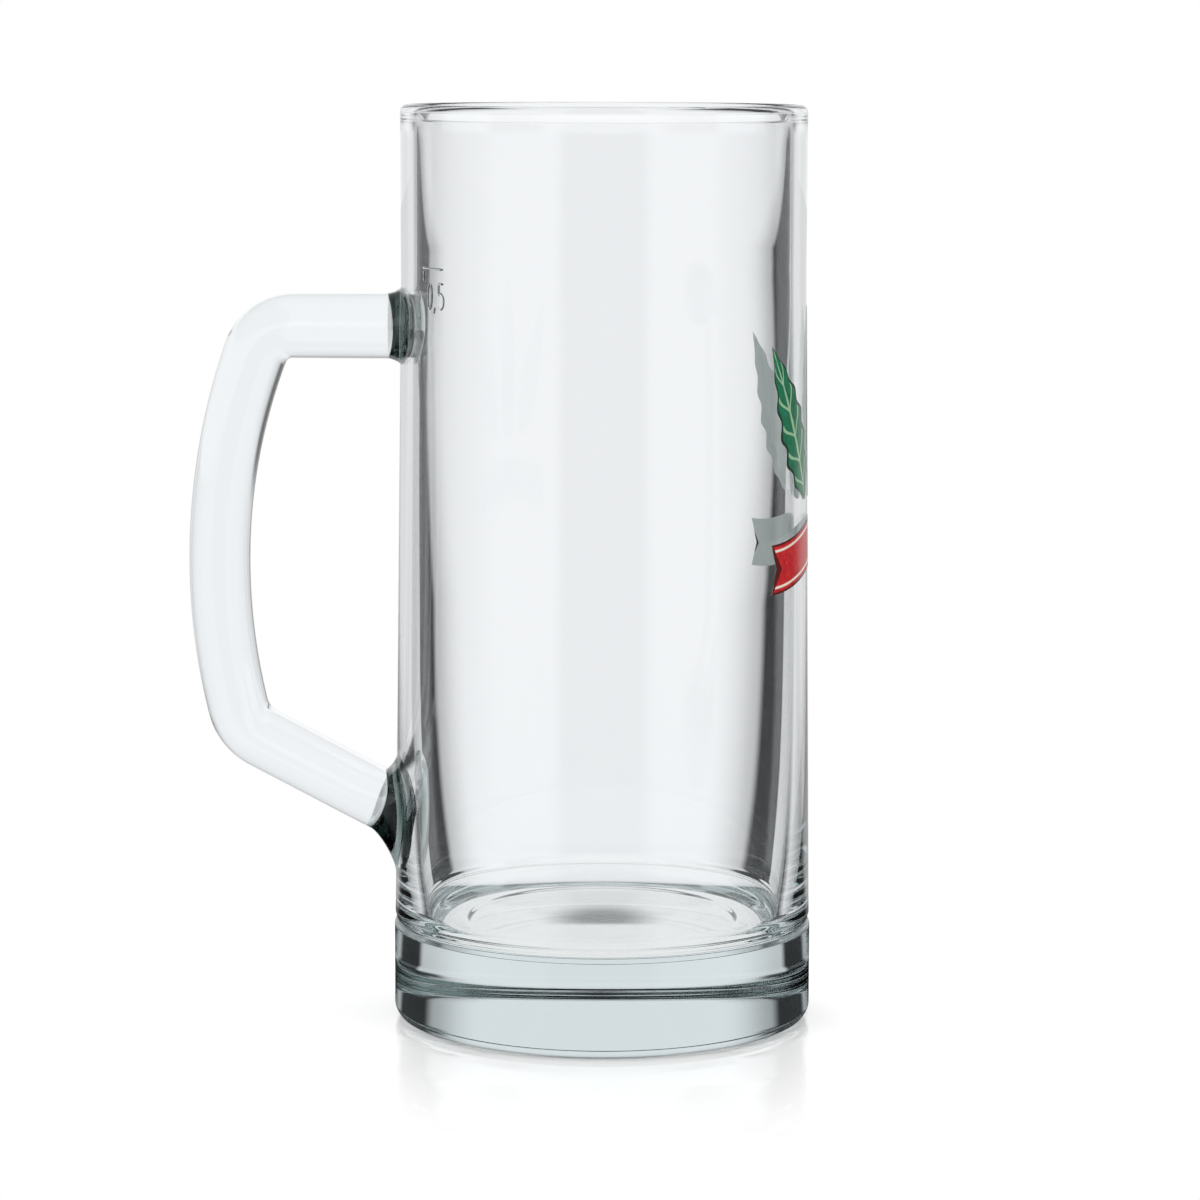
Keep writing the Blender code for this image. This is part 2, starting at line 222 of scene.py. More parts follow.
# %% A finish and what feeds it
def new_finish(name, **constants):
    """Material with a Principled shader: its even values are set on the shader's own sockets."""
    finish = bpy.data.materials.new(name)
    finish.use_nodes = True
    shader = finish.node_tree.nodes["Principled BSDF"]
    for key, value in constants.items():
        shader.inputs[key.replace("_", " ")].default_value = value
    print("finish", name)
    return finish, Flow(finish.node_tree), shader


def feed(shader, **flows):
    """Link what changes over a surface to the shader."""
    for key, flow in flows.items():
        flow.tree.links.new(flow.socket, shader.inputs[key.replace("_", " ")])


def show(finish, flow, socket="Surface"):
    """Link a shader to the material output."""
    output = finish.node_tree.nodes["Material Output"]
    finish.node_tree.links.new(flow.socket, output.inputs[socket])


def parts_of(vector, count):
    """The first numbers of a vector, as sockets of their own."""
    return [vector.node("ShaderNodeSeparateXYZ", inputs={0: vector}, output=i) for i in range(count)]


# %% [markdown]
# ## Clear glass
#
# The mug is soda-lime glass. In thin walls it has no colour, and through eight centimetres of base it
# turns a faint blue-green, because iron in the sand swallows red light first. A tinted Base Color
# would colour a thin wall as much as a thick base, so the colour is absorption inside the volume.
# Blown and pressed glass is never quite flat either. A slow ripple bends what is seen through it, and
# the fire-polished skin varies a little in gloss. The welds are drawn from the same melt, but they look
# darker, because fine folds in the joint turn light away. Folds as geometry would be far too fine, so
# the weld glass swallows more light instead, as painted shade.

# %% Glass finishes
GLASS_IOR = 1.5
GLASS_ABSORPTION = 10.0
GLASS_CLEAR = (0.59, 0.70, 0.71, 1.0)
# The welds' dense, dark absorption is painted shade for the light that the joint turns away.
WELD_SHADE_ABSORPTION = 420.0
WELD_SHADE_TINT = (0.30, 0.44, 0.42, 1.0)
GLOSS_CHANGE = 0.006
GLOSS_FINENESS = 9.0
WHITE = (1.0, 1.0, 1.0, 1.0)


def glass_finish(name, ripple_per_metre, ripple_height, clear=GLASS_CLEAR, absorption=GLASS_ABSORPTION):
    """Clear glass: slow noise gives the ripple as a bump, fast noise the change of gloss."""
    finish, flow, shader = new_finish(name, Base_Color=WHITE, Transmission_Weight=1.0, IOR=GLASS_IOR)
    place = flow.node("ShaderNodeTexCoord", output="Object")
    slow_inputs = {"Vector": place, "Scale": ripple_per_metre, "Detail": 0.0}
    slow = flow.node("ShaderNodeTexNoise", inputs=slow_inputs)
    bump_inputs = {"Height": slow, "Strength": 1.0, "Distance": ripple_height * MM}
    ripple = flow.node("ShaderNodeBump", inputs=bump_inputs)
    fast_inputs = {"Vector": place, "Scale": GLOSS_FINENESS * ripple_per_metre}
    fast = flow.node("ShaderNodeTexNoise", inputs=fast_inputs)
    feed(shader, Roughness=fast * GLOSS_CHANGE, Normal=ripple)
    tint = flow.node("ShaderNodeVolumeAbsorption", inputs={"Color": clear, "Density": absorption})
    show(finish, tint, "Volume")
    return finish


body_glass = glass_finish("blown_body_glass", 24.0, 0.002)
handle_glass = glass_finish("pressed_handle_glass", 45.0, 0.008)
weld_glass = glass_finish("drawn_weld_glass_painted_shade", 60.0, 0.005, WELD_SHADE_TINT, WELD_SHADE_ABSORPTION)

# %% [markdown]
# ## The glass body
#
# The body is a body of revolution: a half section turned once round the axis. Blender's Screw
# modifier does that, but here the section is an array, so each stretch of it can have as many points
# as its curve needs. The section runs from the middle of the underside round the heel, through the
# shallow groove of the shoulder, up the tapered wall, over the fire-polished rim, down the inside and
# across the floor. Thickness matters more than the outline: the dark lines that draw a glass are set
# by where the inside of the wall lies.

# %% Radii of the wall
SHOULDER_Z = 19.0
WALL_FOOT_RADIUS = 39.25
WAIST_Z = 141.0
WAIST_RADIUS = 37.75
RIM_RADIUS = 37.85
WALL_THICKNESS = 2.35
FILLET_TOP_Z = 22.3
FOOT_THICKENING = 2.4
FOOT_LENGTH = 22.0
LIP_THICKENING = 0.15
LIP_Z = 124.0
LIP_LENGTH = 42.0
RIM_BEAD = 0.4
RIM_BEAD_LENGTH = 1.6


def smooth_step(share):
    """Ease from 0 to 1 with level ends: 3 s squared less 2 s cubed."""
    share = np.clip(share, 0.0, 1.0)
    return share * share * (3.0 - 2.0 * share)


def outer_radius(z):
    """Outside of the wall: a straight taper from the shoulder to the waist, then a slight flare."""
    heights = [SHOULDER_Z, WAIST_Z, MUG_HEIGHT]
    return np.interp(z, heights, [WALL_FOOT_RADIUS, WAIST_RADIUS, RIM_RADIUS])


def inner_radius(z):
    """Inside of the wall: the outside less the wall, which thickens at the foot, the lip and the rim."""
    foot = FOOT_THICKENING * np.exp(-(z - FILLET_TOP_Z) / FOOT_LENGTH)
    lip = LIP_THICKENING * smooth_step((z - LIP_Z) / LIP_LENGTH)
    bead = RIM_BEAD * np.exp((z - MUG_HEIGHT) / RIM_BEAD_LENGTH)
    return outer_radius(z) - WALL_THICKNESS - foot - lip - bead


RIM_HALF = (RIM_RADIUS - inner_radius(MUG_HEIGHT)) / 2
RIM_FOOT_Z = MUG_HEIGHT - RIM_HALF
print(f"rim {2 * RIM_HALF:.2f} mm thick")

# %% Outside of the section
HEEL_RADIUS = 2.7
SHOULDER_HEIGHT = 2.7
SHOULDER_DEPTH = 0.4
POLE_RING = 2.0
UNDERSIDE_POINTS, HEEL_POINTS, GROOVE_POINTS, WALL_POINTS, RIM_POINTS = 14, 16, 21, 50, 28


def arc(centre, radius, start, stop, steps):
    """Points on a circle from one angle to another: centre + radius (cos a, sin a)."""
    angle = np.linspace(start, stop, steps)
    return centre + radius * np.stack([np.cos(angle), np.sin(angle)], axis=-1)


def outside_section():
    """Underside, heel, groove, wall and rim. The groove dips by the square of a half sine wave."""
    under = np.linspace(POLE_RING, BASE_RADIUS - HEEL_RADIUS, UNDERSIDE_POINTS)[:-1]
    underside = np.stack([under, 0.0 * under], axis=-1)
    heel_centre = (BASE_RADIUS - HEEL_RADIUS, HEEL_RADIUS)
    heel = arc(heel_centre, HEEL_RADIUS, -math.pi / 2, 0.0, HEEL_POINTS)
    share = np.linspace(0.0, 1.0, GROOVE_POINTS)
    flush = BASE_RADIUS + share * (WALL_FOOT_RADIUS - BASE_RADIUS)
    dip = SHOULDER_DEPTH * np.sin(math.pi * share) ** 2
    groove = np.stack([flush - dip, SHOULDER_Z + (share - 0.5) * SHOULDER_HEIGHT], axis=-1)
    wall_z = np.linspace(groove[-1, 1], RIM_FOOT_Z, WALL_POINTS)[1:-1]
    wall = np.stack([outer_radius(wall_z), wall_z], axis=-1)
    rim = arc((RIM_RADIUS - RIM_HALF, RIM_FOOT_Z), RIM_HALF, 0.0, math.pi, RIM_POINTS)
    return np.concatenate([underside, heel, groove, wall, rim])


outside = outside_section()
print(f"outside of {len(outside)} points")

# %% Inside of the section
FLOOR_FILLET = 6.1
FLOOR_RING_RADIUS = 26.5
FLOOR_RING_WIDTH = 1.4
FLOOR_RING_DEPTH = 0.35
FLOOR_DOME = 0.5
BORE_CROWDING = 0.7
BORE_POINTS, FILLET_POINTS, FLOOR_EDGE_POINTS, FLOOR_POINTS = 90, 24, 18, 10


def inside_section():
    """Bore, fillet, floor ring and domed floor, from the rim down to the axis.

    The bore's points stand closer towards the rim, at heights of share^0.7. The floor steps down inside
    its ring, and its dome falls off by the square of the radius.
    """
    share = np.linspace(1.0, 0.0, BORE_POINTS)[1:-1] ** BORE_CROWDING
    bore_z = FILLET_TOP_Z + (RIM_FOOT_Z - FILLET_TOP_Z) * share
    bore = np.stack([inner_radius(bore_z), bore_z], axis=-1)
    taper = (WALL_FOOT_RADIUS - WAIST_RADIUS) / (WAIST_Z - SHOULDER_Z)
    lean = math.atan(FOOT_THICKENING / FOOT_LENGTH - taper)
    middle_radius = inner_radius(FILLET_TOP_Z) - FLOOR_FILLET * math.cos(lean)
    middle_z = FILLET_TOP_Z + FLOOR_FILLET * math.sin(lean)
    fillet = arc((middle_radius, middle_z), FLOOR_FILLET, -lean, -math.pi / 2, FILLET_POINTS)
    floor_z = middle_z - FLOOR_FILLET
    dome_radius = FLOOR_RING_RADIUS - FLOOR_RING_WIDTH
    radius = np.concatenate([
        np.linspace(middle_radius, dome_radius, FLOOR_EDGE_POINTS)[1:],
        np.linspace(dome_radius, POLE_RING, FLOOR_POINTS)[1:],
    ])
    step = FLOOR_RING_DEPTH * smooth_step((FLOOR_RING_RADIUS - radius) / FLOOR_RING_WIDTH)
    dome = FLOOR_DOME * (1.0 - np.clip(radius / dome_radius, 0.0, 1.0) ** 2)
    floor = np.stack([radius, floor_z - step + dome], axis=-1)
    return np.concatenate([bore, fillet, floor]), floor_z - FLOOR_RING_DEPTH + FLOOR_DOME


inside, floor_middle_z = inside_section()
print(f"inside of {len(inside)} points, floor {floor_middle_z:.1f} mm up in the middle")

# %% Turn the section round the axis
BODY_SEGMENTS = 256
WAVE_HEIGHT = 0.004
WAVES = [(1.0, 2.0, 0.045, 0.6), (0.7, 3.0, -0.07, 2.1), (0.5, 5.0, 0.11, 4.0)]
WAVE_FOOT_LENGTH = 30.0
WAVE_TOP_Z = 165.0
WAVE_TOP_LENGTH = 20.0


def bore_wave(angle, z):
    """Unevenness of the blown inside: slow waves round the wall that twist as they climb.

    Each wave has a share of the height, a number of crests, a twist per millimetre and a start.
    """
    wave = sum(size * np.sin(crests * angle + twist * z + start) for size, crests, twist, start in WAVES)
    fade = smooth_step((z - FILLET_TOP_Z) / WAVE_FOOT_LENGTH)
    return WAVE_HEIGHT * wave * fade * smooth_step((WAVE_TOP_Z - z) / WAVE_TOP_LENGTH)


section = np.concatenate([outside, inside])
angle = np.linspace(0.0, 2.0 * math.pi, BODY_SEGMENTS, endpoint=False)
radius = np.repeat(section[:, :1], BODY_SEGMENTS, axis=1)
radius[len(outside):] += bore_wave(angle[None, :], inside[:, 1:])
height = np.repeat(section[:, 1:], BODY_SEGMENTS, axis=1)
rings = np.stack([radius * np.cos(angle), radius * np.sin(angle), height], axis=-1)
body_vertices, body_faces = loft(rings, (0.0, 0.0, 0.0), (0.0, 0.0, floor_middle_z))
add_piece("mug_body", body_vertices, body_faces, body_glass, "body_glass", "glass_body")

# %% [markdown]
# ## The handle
#
# The handle is pressed on its own and joined to the warm body. It is a bar of full oval section, deeper
# than it is thick, and it runs straight out, round a bend, down a bowed grip, round a second bend and
# back to the wall at a slope. A curve with a bevel object could carry a profile too. The formula is used
# because the bar also thins on its way down, because its lower end is cut on the slant where the weld
# takes it, and because both ends are hollowed a little by the welds that bulge into them.

# %% Section of the bar
HANDLE_DEPTH = 16.0
OVAL_POWER = 2.2
OVAL_STEPS = 1441
SECTION_POINTS = 96
NOMINAL_HALF = 5.6


def bar_section():
    """Full oval, evenly spaced: shares of the two half sizes and the outward normal.

    The shares obey across^p + depth^p = 1, which is an ellipse at p = 2 and a rectangle at high p.
    The normal is the slope of that sum.
    """
    angle = np.linspace(0.0, 2.0 * math.pi, OVAL_STEPS)
    circle = np.stack([np.cos(angle), np.sin(angle)])
    shares = np.sign(circle) * np.abs(circle) ** (2.0 / OVAL_POWER)
    half_sizes = np.array([[NOMINAL_HALF], [HANDLE_DEPTH / 2]])
    steps = np.hypot(*np.diff(shares * half_sizes, axis=1))
    length = np.concatenate([[0.0], np.cumsum(steps)])
    stations = np.linspace(0.0, length[-1], SECTION_POINTS, endpoint=False)
    shares = np.stack([np.interp(stations, length, row) for row in shares])
    normal = np.sign(shares) * np.abs(shares) ** (OVAL_POWER - 1.0) / half_sizes
    return shares, normal / np.hypot(*normal)


def bar_offsets(half_thickness):
    """Across and depth offsets of the section for each half thickness."""
    (across, depth), _ = bar_section()
    half = np.asarray(half_thickness)[..., None]
    return across * half, depth * HANDLE_DEPTH / 2 + 0.0 * half


print(f"bar section of {SECTION_POINTS} points, {HANDLE_DEPTH:.0f} mm deep")

# %% Middle line of the bar
UPPER_ARM_Z = 130.85
GRIP_REACH = 72.1
GRIP_BOW_RADIUS = 116.0
GRIP_MIDDLE_Z = 86.0
UPPER_BEND_RADIUS = 7.5
LOWER_BEND_RADIUS = 9.3
LOWER_ARM_SLOPE = math.radians(28.0)
LOWER_ARM_PLACE = np.array([-54.1, 47.45])
UPPER_WELD_X = -40.2
LOWER_WELD_X = -42.6
SUNK = 0.5
BEND_POINTS, GRIP_POINTS, BAR_RINGS = 40, 120, 240

lower_along = np.array([math.cos(LOWER_ARM_SLOPE), -math.sin(LOWER_ARM_SLOPE)])
lower_drop = (LOWER_WELD_X - LOWER_ARM_PLACE[0]) * math.tan(LOWER_ARM_SLOPE)
lower_weld_centre = np.array([LOWER_WELD_X, LOWER_ARM_PLACE[1] - lower_drop])


def handle_line():
    """Straight arm, bend, bowed grip, bend and sloped arm: circles that touch one another."""
    grip_centre = np.array([GRIP_BOW_RADIUS - GRIP_REACH, GRIP_MIDDLE_Z])
    reach = GRIP_BOW_RADIUS - UPPER_BEND_RADIUS
    rise = UPPER_ARM_Z - UPPER_BEND_RADIUS - GRIP_MIDDLE_Z
    upper_centre = grip_centre + (-math.sqrt(reach ** 2 - rise ** 2), rise)
    upper_angle = math.pi - math.asin(rise / reach)

    inward = np.array([math.sin(LOWER_ARM_SLOPE), math.cos(LOWER_ARM_SLOPE)])
    reach = GRIP_BOW_RADIUS - LOWER_BEND_RADIUS
    offset = LOWER_ARM_PLACE + LOWER_BEND_RADIUS * inward - grip_centre
    back = offset @ lower_along
    travel = -back - math.sqrt(back ** 2 - offset @ offset + reach ** 2)
    lower_centre = grip_centre + offset + travel * lower_along
    lower_angle = 2 * math.pi + math.atan2(*(lower_centre - grip_centre)[::-1])
    arm_angle = 1.5 * math.pi - LOWER_ARM_SLOPE

    line = np.concatenate([
        [[UPPER_WELD_X + SUNK, UPPER_ARM_Z]],
        arc(upper_centre, UPPER_BEND_RADIUS, math.pi / 2, upper_angle, BEND_POINTS),
        arc(grip_centre, GRIP_BOW_RADIUS, upper_angle, lower_angle, GRIP_POINTS)[1:-1],
        arc(lower_centre, LOWER_BEND_RADIUS, lower_angle, arm_angle, BEND_POINTS),
        [lower_weld_centre + lower_along * SUNK],
    ])
    length = np.concatenate([[0.0], np.cumsum(np.hypot(*np.diff(line, axis=0).T))])
    stations = np.linspace(0.0, length[-1], BAR_RINGS)
    return np.stack([np.interp(stations, length, column) for column in line.T], axis=-1), stations


line, stations = handle_line()
print(f"handle bar {stations[-1]:.0f} mm long")

# %% Carry the section along the line
UPPER_ARM_THICKNESS = 12.2
GRIP_THICKNESS = 11.35
LOWER_ARM_THICKNESS = 11.1
LOWER_WELD_LEAN = math.radians(17.0)
SLANT_LENGTH = 6.0
UPPER_BULGE = 1.2
LOWER_BULGE = 1.7


def end_bulge(size, depth):
    """How far a joint lies back towards the wall: size x the square of the share of the half depth."""
    return size * (2.0 * depth / HANDLE_DEPTH) ** 2


tangent = np.gradient(line, axis=0)
tangent /= np.linalg.norm(tangent, axis=1, keepdims=True)
outward = np.stack([tangent[:, 1], -tangent[:, 0]], axis=-1)
cut = np.array([-math.sin(LOWER_WELD_LEAN), -math.cos(LOWER_WELD_LEAN)])
slanted = cut / (outward @ cut)[:, None]
near_start = smooth_step(1.0 - stations / SLANT_LENGTH)
near_end = smooth_step(1.0 - (stations[-1] - stations) / SLANT_LENGTH)
outward = outward + near_end[:, None] * (slanted - outward)

share = stations / stations[-1]
thickness = UPPER_ARM_THICKNESS + smooth_step(2.0 * share) * (GRIP_THICKNESS - UPPER_ARM_THICKNESS)
thickness += smooth_step(2.0 * share - 1.0) * (LOWER_ARM_THICKNESS - GRIP_THICKNESS)
across, depth = bar_offsets(thickness / 2)
rings = np.stack([
    line[:, :1] + outward[:, :1] * across,
    depth,
    line[:, 1:] + outward[:, 1:] * across,
], axis=-1)
rings[..., 0] += end_bulge((UPPER_BULGE * near_start + LOWER_BULGE * near_end)[:, None], depth)
poles = [(point[0], 0.0, point[1]) for point in (line[0], line[-1])]
handle_vertices, handle_faces = loft(rings, *poles)
add_piece("handle_bar", handle_vertices, handle_faces, handle_glass, "handle_glass", "handle")

# %% [markdown]
# ## The two welds
#
# Where the handle was pressed on the warm wall, soft glass spread out round its ends. Each weld is a
# saddle: at one end it has the bar's own section, at the other it lies on the round wall, and in
# between its skin follows a hollow round, so that it leaves the wall without an edge. Sculpting would
# give such a blob too, but a formula keeps it fitted to both neighbours. Wall, weld and bar overlap by
# half a millimetre. Light then crosses from one to the next as in one melt, where an air gap would shine
# like a mirror.

# %% Saddles of weld glass
UPPER_FLARES = (1.1, 2.0, 1.1)
LOWER_FLARES = (3.1, 3.3, 8.7)
WELD_RINGS = 28
WELD_ROOT = 0.06
WELD_FILLET_POWER = 1.5
FOOT_RINGS = 12
FOOT_START = 0.08


def weld_rings(centre, lean, half_thickness, flares, bulge):
    """Rings of one weld, from its sunk foot on the wall out to the bar.

    The bar's section grows by flare x (1 - sin^k turn) along the wall while it moves from the wall to
    the bar's end by (1 - cos^k turn), with turn from 0 to a quarter circle. k = 1 would be a quarter
    round, a higher k is a flatter hollow. Flares are top, side and bottom. The end bulges into the bar.
    """
    top_flare, side_flare, bottom_flare = flares
    across, depth = bar_offsets(half_thickness)
    _, (normal_across, normal_depth) = bar_section()
    stretch = 1.0 / math.cos(lean - LOWER_ARM_SLOPE) if lean else 1.0
    end_x = centre[0] + across * stretch * math.sin(lean) + end_bulge(bulge, depth)
    end_z = centre[1] + across * stretch * math.cos(lean)
    tall_flare = np.where(normal_across > 0.0, top_flare, bottom_flare) * normal_across

    turn = np.concatenate([np.zeros(FOOT_RINGS), np.linspace(0.0, math.pi / 2, WELD_RINGS)])[:, None]
    growth = np.concatenate([np.linspace(FOOT_START, 1.0, FOOT_RINGS), np.ones(WELD_RINGS)])[:, None]
    stand_off = np.repeat([-SUNK, -WELD_ROOT], [FOOT_RINGS, WELD_RINGS])[:, None]

    spread = 1.0 - np.sin(turn) ** WELD_FILLET_POWER
    reach = 1.0 - np.clip(np.cos(turn), 0.0, 1.0) ** WELD_FILLET_POWER
    y = (depth + side_flare * normal_depth * spread) * growth
    z = centre[1] + (end_z + tall_flare * spread - centre[1]) * growth
    wall_x = -np.sqrt((outer_radius(z) + stand_off) ** 2 - y ** 2)
    return np.stack([wall_x + (end_x - wall_x) * reach, y, z], axis=-1)


def add_weld(name, centre, lean, half_thickness, flares, bulge, node):
    """One weld, closed by a point on the sunk wall and by the end that takes the bar."""
    rings = weld_rings(centre, lean, half_thickness, flares, bulge)
    wall_pole = (SUNK - outer_radius(centre[1]), 0.0, centre[1])
    end_pole = (centre[0], 0.0, centre[1])
    vertices, faces = loft(rings, wall_pole, end_pole)
    add_piece(name, vertices, faces, weld_glass, "weld_glass", node)


upper_weld_centre = np.array([UPPER_WELD_X, UPPER_ARM_Z])
add_weld(
    "weld_above", upper_weld_centre, 0.0, UPPER_ARM_THICKNESS / 2, UPPER_FLARES, UPPER_BULGE, "upper_weld"
)
add_weld(
    "weld_below", lower_weld_centre, LOWER_WELD_LEAN, LOWER_ARM_THICKNESS / 2, LOWER_FLARES, LOWER_BULGE,
    "lower_weld",
)

# %% [markdown]
# ## The fired print
#
# Opposite the handle the wall carries a print in green and red enamel, fired into the glass: two
# toothed leaves, a hop cone between them and a plain ribbon below. An image texture would be the usual
# way. Here each motif is a thin layer of its own with a true outline, laid out flat as s (round the
# wall) and z (up), and wrapped on the wall. Its back, seen through the mug, is the pale layer that
# printers lay down first, so that the colours don't look dull on clear glass.

# %% Layers of enamel on the wall
PRINT_FRONT = 0.09
PRINT_BACK = -0.02
PRINT_ROLL_RADIUS = 38.3
PRINT_COLUMNS = 28


def on_wall(s, z, stand_off):
    """Wrap the flat layout on the wall: the angle from +X is s over the roll radius."""
    turn = s / PRINT_ROLL_RADIUS
    radius = outer_radius(z) + stand_off
    return np.stack([radius * np.cos(turn), radius * np.sin(turn), z + 0.0 * s], axis=-1)


def add_print(name, spot, rows, finish, slot, node):
    """Closed layer over spot(u, v): the front runs across at v from -1 to 1, the back runs home.

    The map keeps u and v for the finish, and the attribute underlay is 1 on the back.
    """
    u = np.linspace(0.0, 1.0, rows)[:, None]
    v = np.linspace(-1.0, 1.0, PRINT_COLUMNS)[None, :]
    s, z = (value + 0.0 * u + 0.0 * v for value in spot(u, v))
    front = on_wall(s, z, PRINT_FRONT)
    back = on_wall(s, z, PRINT_BACK)[:, ::-1]
    rings = np.concatenate([front, back], axis=1)
    vertices, faces = loft(rings, rings[0].mean(axis=0), rings[-1].mean(axis=0))
    mesh = add_piece(name, vertices, faces, finish, slot, node).data

    ends = np.array([[0.0, 0.5], [1.0, 0.5]])
    across = np.concatenate([v[0], v[0, ::-1]]) / 2 + 0.5
    spots = np.stack(np.broadcast_arrays(u, across[None, :]), axis=-1).reshape(-1, 2)
    spots = np.concatenate([spots, ends])
    corners = np.empty(len(mesh.loops), int)
    mesh.loops.foreach_get("vertex_index", corners)
    layout = mesh.uv_layers.new(name="layout")
    layout.uv.foreach_set("vector", spots[corners].ravel())
    is_back = np.tile(np.repeat([0.0, 1.0], PRINT_COLUMNS), rows)
    underlay = mesh.attributes.new("underlay", "FLOAT", "POINT")
    underlay.data.foreach_set("value", np.concatenate([is_back, [0.0, 0.0]]))


print(f"print {PRINT_FRONT:.2f} mm proud of the wall")

# %% [markdown]
# ## Enamel
#
# Fired enamel is opaque, a little glossy and never quite even: the screen leaves it thinner in places.
# Each finish starts from the motif's own map, in which u runs along the motif and v across it. Lines
# of a darker and a paler colour then follow the motif, as the printer's keyline and veins do. Painting
# them as separate meshes would be possible, but lines in the finish stay sharp at any distance. The
# back glows faintly, in the place of the daylight that the glass wall lets through to it.

# %% An enamel with lines
KEYLINE = (0.012, 0.035, 0.02, 1.0)
RED_KEYLINE = (0.09, 0.006, 0.006, 1.0)
UNDERLAY = (0.80, 0.83, 0.82, 1.0)
UNDERLAY_GLOW = (0.12, 0.15, 0.14, 1.0)
BLACK = (0.0, 0.0, 0.0, 1.0)
SCREEN_PER_METRE = 900.0
SCREEN_DETAIL = 3.0
SCREEN_SPAN = (0.35, 0.65)
SCREEN_HEIGHT = 0.02
SCREEN_BUMP = 0.25
THIN_SHADE = 0.72
BACK_EDGE = (0.45, 0.55)
ENAMEL_ROUGHNESS = 0.16


def enamel_finish(name, colour, pale, keyline, pattern):
    """Enamel: screen noise on the colour, pale lines by pattern(u, v), a keyline and the underlay."""
    finish, flow, shader = new_finish(name, Metallic=0.0, IOR=GLASS_IOR, Emission_Strength=1.0)
    u, v = parts_of(flow.node("ShaderNodeUVMap", {"uv_map": "layout"}), 2)
    side = (v * 2.0 - 1.0).math("ABSOLUTE")
    place = flow.node("ShaderNodeTexCoord", output="Object")
    screen_inputs = {"Vector": place, "Scale": SCREEN_PER_METRE, "Detail": SCREEN_DETAIL}
    screen = flow.node("ShaderNodeTexNoise", inputs=screen_inputs)
    lines, edge = pattern(u, side)
    thin = tuple(THIN_SHADE * value for value in colour[:3]) + (1.0,)
    paint = screen.between(*SCREEN_SPAN).blend(thin, colour)
    paint = edge.blend(lines.blend(paint, pale), keyline)
    underlay = flow.node("ShaderNodeAttribute", {"attribute_name": "underlay"}, output="Fac")
    back = underlay.between(*BACK_EDGE)
    bump_inputs = {"Height": screen, "Strength": SCREEN_BUMP, "Distance": SCREEN_HEIGHT * MM}
    feed(
        shader, Base_Color=back.blend(paint, UNDERLAY), Emission_Color=back.blend(BLACK, UNDERLAY_GLOW),
        Roughness=screen * ENAMEL_ROUGHNESS + ENAMEL_ROUGHNESS,
        Normal=flow.node("ShaderNodeBump", inputs=bump_inputs),
    )
    return finish


# %% Lines of the leaf, the cone and the ribbon
MIDRIB = (0.05, 0.10)
VEIN_RISE, VEIN_COUNT = 0.16, 6.0
VEIN_LINE, VEIN_END = (0.04, 0.09), (0.8, 0.86)
LEAF_EDGE, LEAF_STALK_END, LEAF_TIP_END = (0.84, 0.88), (0.015, 0.03), (0.975, 0.985)
CONE_MIDDLE, CONE_MIDDLE_SHARE = (0.05, 0.11), 0.7
SCALE_RISE, SCALE_COUNT = 0.06, 7.0
SCALE_LINE, SCALE_END = (0.05, 0.11), (0.78, 0.86)
CONE_EDGE, CONE_FOOT_END, CONE_TIP_END = (0.82, 0.87), (0.01, 0.02), (0.98, 0.99)
STRIPE_RISE, STRIPE_FALL = (0.66, 0.70), (0.76, 0.80)
RIBBON_EDGE, RIBBON_TAIL_END = (0.88, 0.93), (0.985, 0.99)


def rows_of_lines(place, count, line):
    """1 on a line in the middle of each row, with count rows over the motif's length."""
    row = (place * count).math("FRACT")
    return 1.0 - (row - 0.5).math("ABSOLUTE").between(*line)


def leaf_lines(u, side):
    """Midrib at v = 0 and six side veins that rise towards the edge; a keyline round the blade."""
    midrib = 1.0 - side.between(*MIDRIB)
    veins = rows_of_lines(u - side * VEIN_RISE, VEIN_COUNT, VEIN_LINE) * (1.0 - side.between(*VEIN_END))
    edge = side.between(*LEAF_EDGE) + (1.0 - u.between(*LEAF_STALK_END)) + u.between(*LEAF_TIP_END)
    return (midrib + veins).clamp(), edge.clamp()


def cone_lines(u, side):
    """Scales of the cone: seven rows of arcs that meet on the middle line; a keyline round it."""
    arcs = rows_of_lines(u + side * side * SCALE_RISE, SCALE_COUNT, SCALE_LINE)
    scales = arcs * (1.0 - side.between(*SCALE_END))
    middle = (1.0 - side.between(*CONE_MIDDLE)) * CONE_MIDDLE_SHARE
    edge = side.between(*CONE_EDGE) + (1.0 - u.between(*CONE_FOOT_END)) + u.between(*CONE_TIP_END)
    return (scales + middle).clamp(), edge.clamp()


def ribbon_lines(u, side):
    """Pale stripe inside each long edge, and a keyline along the edges and the two tails."""
    end = (u * 2.0 - 1.0).math("ABSOLUTE")
    edge = side.between(*RIBBON_EDGE) + end.between(*RIBBON_TAIL_END)
    return side.within(STRIPE_RISE, STRIPE_FALL), edge.clamp()


HOP_GREEN, HOP_PALE = (0.03, 0.24, 0.07, 1.0), (0.32, 0.5, 0.2, 1.0)
LEAF_GREEN, LEAF_PALE = (0.01, 0.17, 0.08, 1.0), (0.3, 0.48, 0.3, 1.0)
RIBBON_RED, RIBBON_PALE = (0.58, 0.015, 0.02, 1.0), (0.8, 0.72, 0.62, 1.0)
hop_enamel = enamel_finish("hop_enamel", HOP_GREEN, HOP_PALE, KEYLINE, cone_lines)
leaf_enamel = enamel_finish("leaf_enamel", LEAF_GREEN, LEAF_PALE, KEYLINE, leaf_lines)
ribbon_enamel = enamel_finish("ribbon_enamel", RIBBON_RED, RIBBON_PALE, RED_KEYLINE, ribbon_lines)

# %% [markdown]
# ## The motifs
#
# A printer would cut one screen for each colour. Here each motif is one formula that takes u along the
# motif and v across it and gives its place in the flat layout. Curves drawn by hand would do as well,
# but with a formula a scale or a tooth more is a change of one number.

